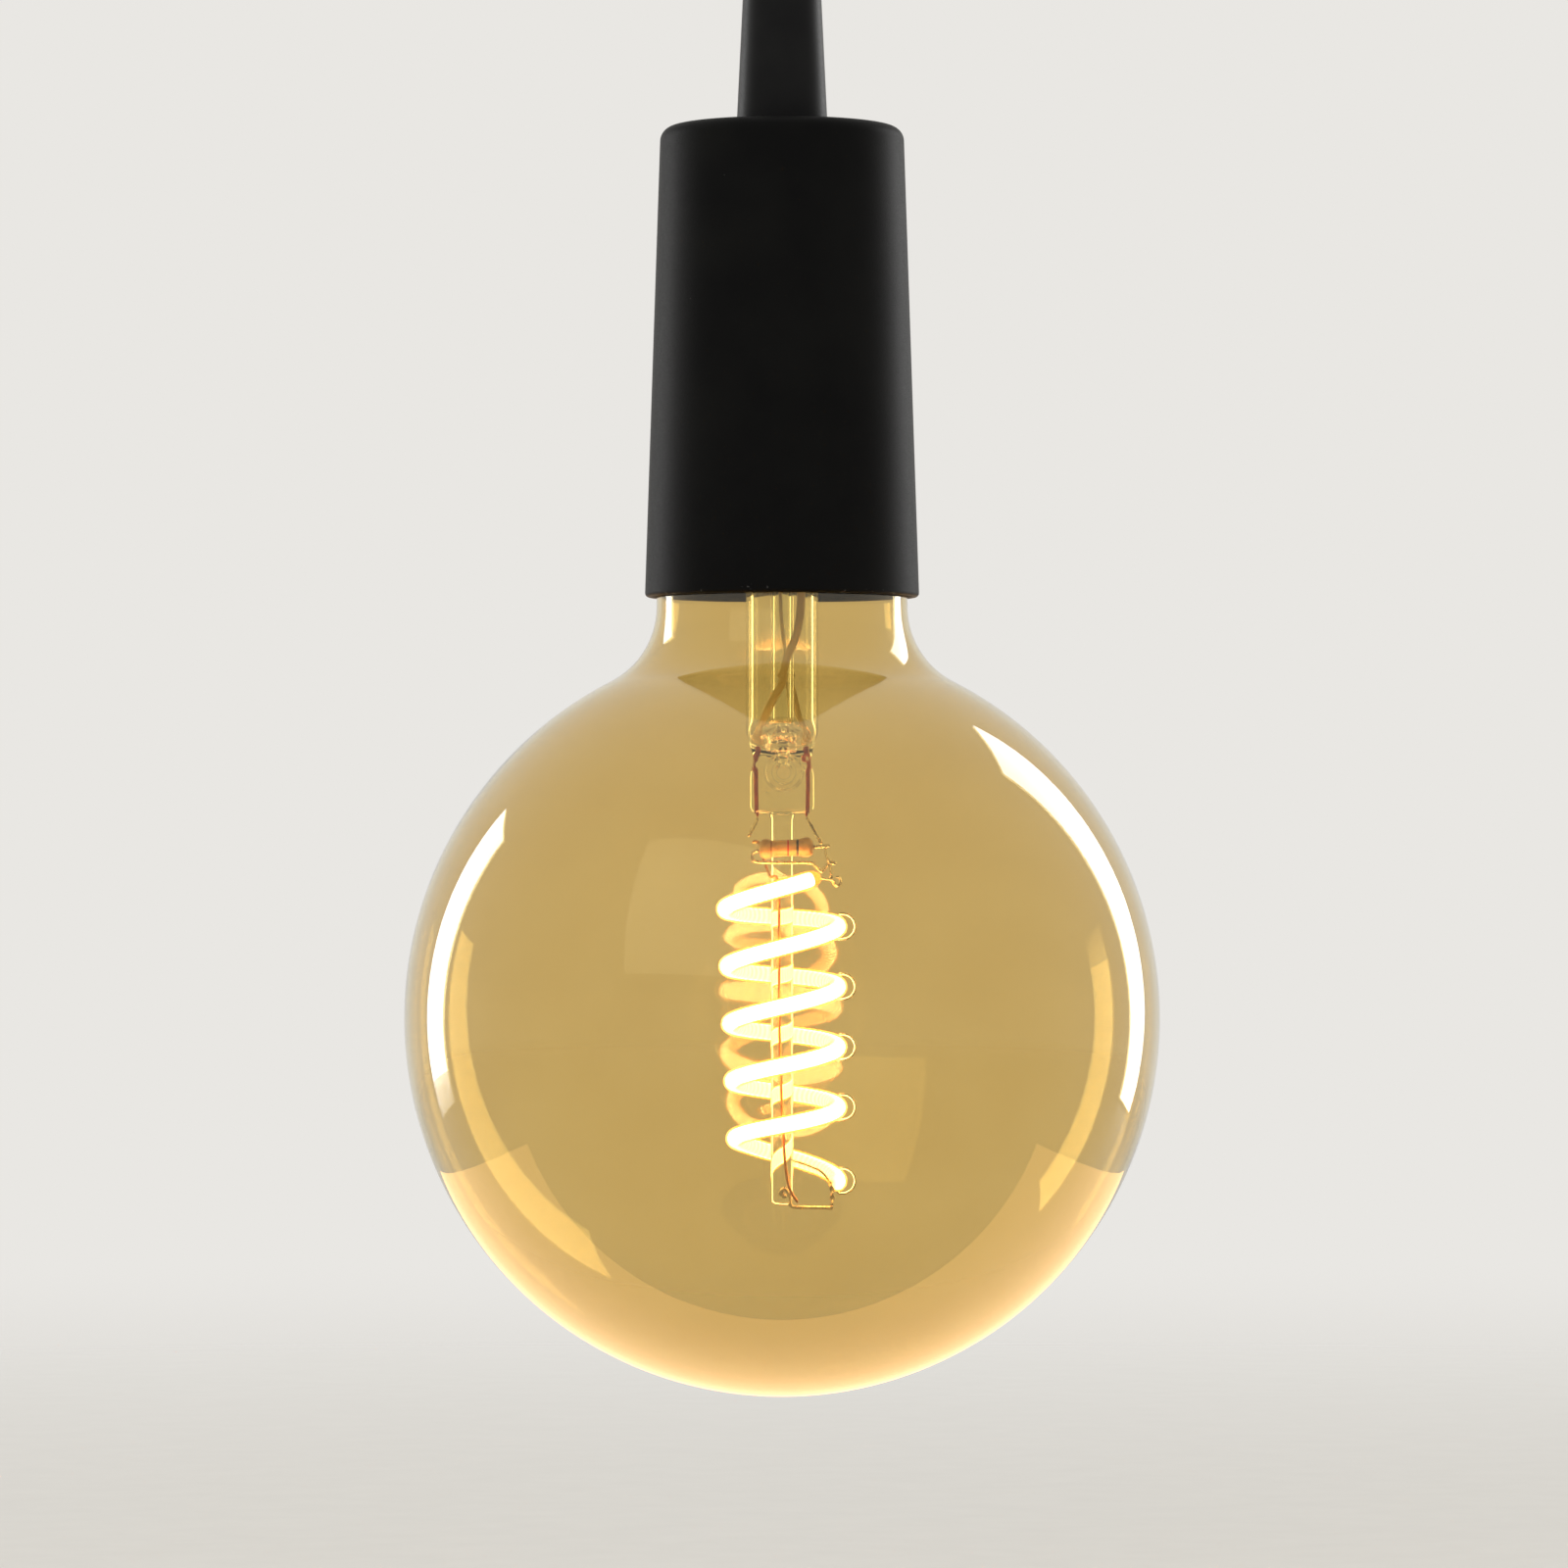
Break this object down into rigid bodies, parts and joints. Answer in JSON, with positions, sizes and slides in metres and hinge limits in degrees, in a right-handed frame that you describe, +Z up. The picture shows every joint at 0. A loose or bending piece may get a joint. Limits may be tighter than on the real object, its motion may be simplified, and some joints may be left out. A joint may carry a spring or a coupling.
{
  "type": "globe lamp in a pendant lampholder",
  "caption": "Gold-tinted glass globe lamp with a spiral light filament, screwed into a black pendant lampholder with a tapered cord grip.",
  "frame": {"origin": "centre of the cord bore's mouth at the top of the cord grip", "axes": "+Z up along the common axis, out of the cord bore; -Y is the front"},
  "size_m": [0.125, 0.125, 0.2361],
  "materials": {
    "black_paint": "matt black powder coat, fine grain",
    "black_nylon": "moulded, satin black",
    "dark_steel": "blackened",
    "zinc_steel": "zinc plated",
    "porcelain": "glazed porcelain",
    "brass": "turned",
    "bronze": "phosphor bronze strip",
    "nickel_plate": "nickel plated, drawn",
    "solder": "tin solder",
    "black_glass": "moulded glass",
    "cement": "baked basing cement",
    "circuit_board": "solder mask",
    "blue_sleeve": "shrunk sleeve",
    "black_epoxy": "moulded",
    "copper_wire": "tinned copper",
    "sleeved_wire": "glass-fibre sleeve",
    "gold_glass": "gold-tinted blown glass",
    "clear_glass": "clear drawn glass",
    "nickel_wire": "drawn nickel",
    "resistor_enamel": "enamel",
    "lit_silicone": "phosphor silicone, lit"
  },
  "bodies": {
    "lampholder": {"cord_grip": "black_nylon", "grip_screw": "dark_steel", "threaded_nipple": "zinc_steel", "lock_washer": "zinc_steel", "lock_nuts": "zinc_steel", "holder_cover": "black_paint", "mount_bracket": "zinc_steel", "bracket_screws": "zinc_steel", "porcelain_body": "porcelain", "live_terminal": "brass", "neutral_terminal": "brass", "terminal_screws": "zinc_steel", "contact_foot": "bronze", "contact_rivet": "brass", "screw_shell": "nickel_plate", "shell_rivets": "brass", "neutral_strap": "brass"},
    "contact_spring": {"contact_tongue": "bronze"},
    "lamp_travel": {"cap_contact": "solder"},
    "lamp": {"cap_insulator": "black_glass", "cap_shell": "nickel_plate", "cap_cement": "cement", "driver_board": "circuit_board", "smoothing_capacitor": "blue_sleeve", "bridge_rectifier": "black_epoxy", "driver_chip": "black_epoxy", "fuse_resistor": "blue_sleeve", "centre_wire": "copper_wire", "side_wire": "copper_wire", "glass_globe": "gold_glass", "glass_stem": "clear_glass", "exhaust_tube": "clear_glass", "support_rod": "clear_glass", "outer_lead_left": "sleeved_wire", "outer_lead_right": "copper_wire", "seal_wire_left": "copper_wire", "seal_wire_right": "copper_wire", "inner_lead_left": "nickel_wire", "inner_lead_right": "nickel_wire", "ballast_resistor": "resistor_enamel", "resistor_lead_left": "nickel_wire", "resistor_lead_right": "nickel_wire", "return_wire": "copper_wire", "filament": "lit_silicone", "top_tab": "nickel_wire", "bottom_tab": "nickel_wire", "bottom_anchor": "nickel_wire", "support_hook_1": "nickel_wire", "support_hook_2": "nickel_wire", "support_hook_3": "nickel_wire", "support_hook_4": "nickel_wire", "support_hook_5": "nickel_wire"}
  },
  "joints": [
    {"name": "lamp_travel", "type": "slide", "parent": "lampholder", "child": "lamp_travel", "axis": [0, 0, -1], "range_m": [0, 0.01816]},
    {"name": "lamp_turn", "type": "hinge", "parent": "lamp_travel", "child": "lamp", "pos_m": [0, 0, -0.0605], "axis": [0, 0, -1], "range_deg": [0, 1800]},
    {"name": "contact_flex", "type": "hinge", "parent": "lampholder", "child": "contact_spring", "pos_m": [-0.0045, 0, -0.05585], "axis": [0, -1, 0], "range_deg": [0, 6], "stiffness_Nm_per_rad": 0.2}
  ],
  "couplings": [
    {"joint": "lamp_travel", "follows": "lamp_turn", "m_per_rad": 0.00057757}
  ]
}
